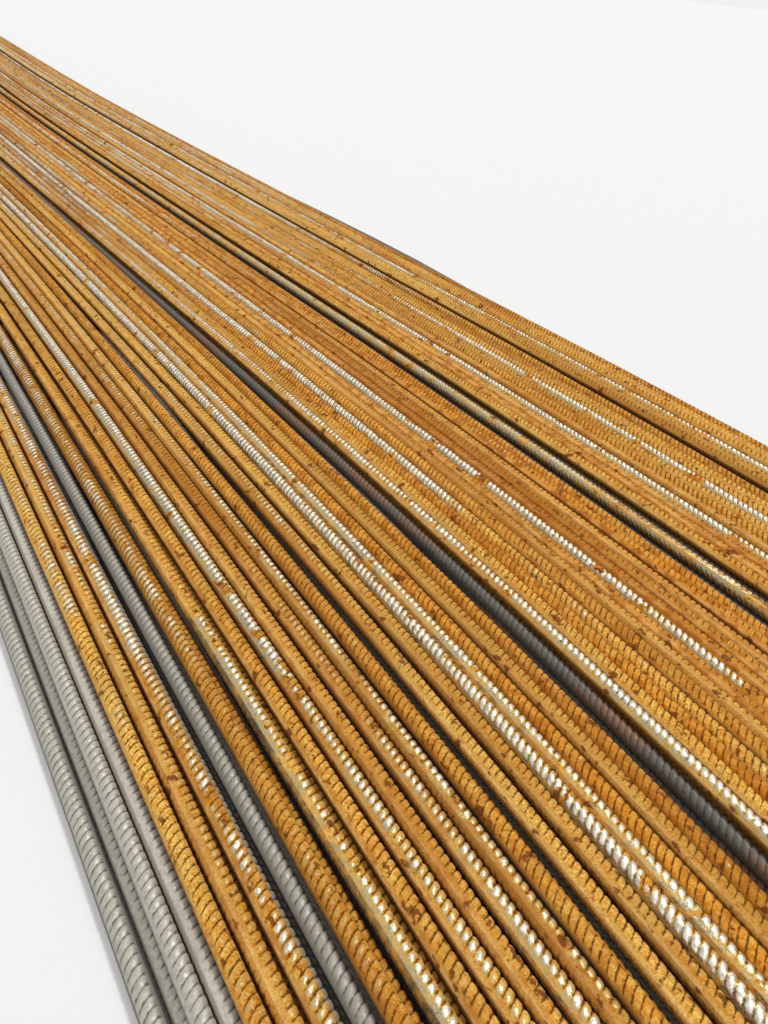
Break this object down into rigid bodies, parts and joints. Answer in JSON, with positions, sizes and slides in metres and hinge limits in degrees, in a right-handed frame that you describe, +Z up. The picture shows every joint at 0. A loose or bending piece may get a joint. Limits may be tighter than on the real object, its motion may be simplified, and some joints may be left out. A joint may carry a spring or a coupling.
{
  "type": "rebar bundle",
  "caption": "Wide, flat, loose bundle of long ribbed steel reinforcing bars in three layers, rusty on top and grey below.",
  "frame": {"origin": "middle of the bundle's footprint, at floor level", "axes": "+X along the bars, +Y to the left across the bundle, +Z up"},
  "size_m": [6.1373, 0.8821, 0.0349],
  "materials": {
    "rusty_steel": "ribbed hot-rolled bar under orange rust, with bare silvery stripes and brown spots",
    "grey_steel": "ribbed hot-rolled bar, dull grey mill scale with little rust"
  },
  "bodies": {
    "root": {"top_layer_bars": "rusty_steel", "middle_layer_bars": "grey_steel", "bottom_layer_bars": "grey_steel"}
  },
  "joints": []
}
